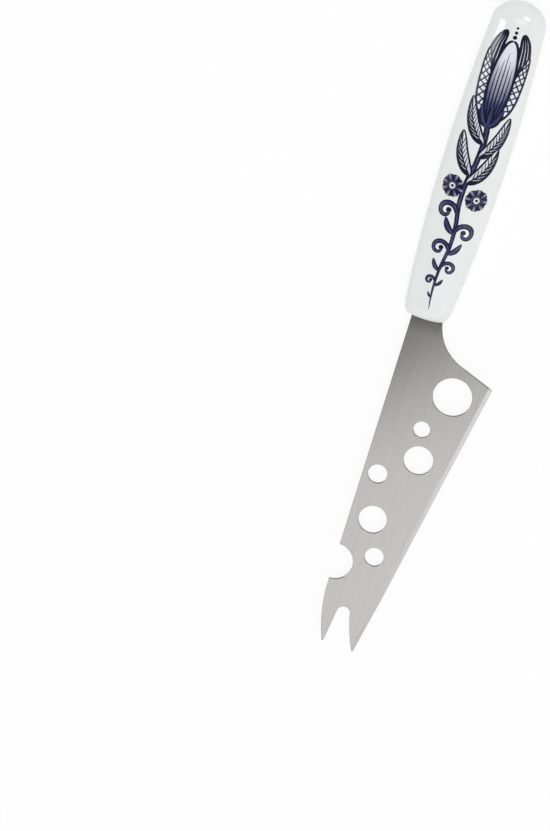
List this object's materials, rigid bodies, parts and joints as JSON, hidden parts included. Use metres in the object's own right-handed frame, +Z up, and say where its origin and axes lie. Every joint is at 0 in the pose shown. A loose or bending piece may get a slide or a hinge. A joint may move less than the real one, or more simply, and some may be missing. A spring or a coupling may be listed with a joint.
{
  "type": "cheese knife",
  "caption": "Cheese knife: stamped steel blade with round release holes, a spine notch and a forked tip, cemented by its tang into a hollow glazed oval handle.",
  "frame": {"origin": "on the surface the knife lies on, under the middle of its outline", "axes": "+X from the butt of the handle to the points of the blade, +Y from the spine to the cutting edge, +Z up out of the decorated side of the handle"},
  "size_m": [0.2392, 0.0402, 0.0165],
  "materials": {
    "blade_steel": "satin stainless sheet, brushed lengthwise, with a bright ground bevel",
    "white_glaze": "glossy white glazed porcelain",
    "blue_print": "cobalt blue underglaze ornament, glossy, drawn by the visual model only",
    "cement": "pale matte cement"
  },
  "bodies": {
    "root": {"blade": "blade_steel", "handle": "white_glaze", "tang_cement": "cement"}
  },
  "joints": []
}
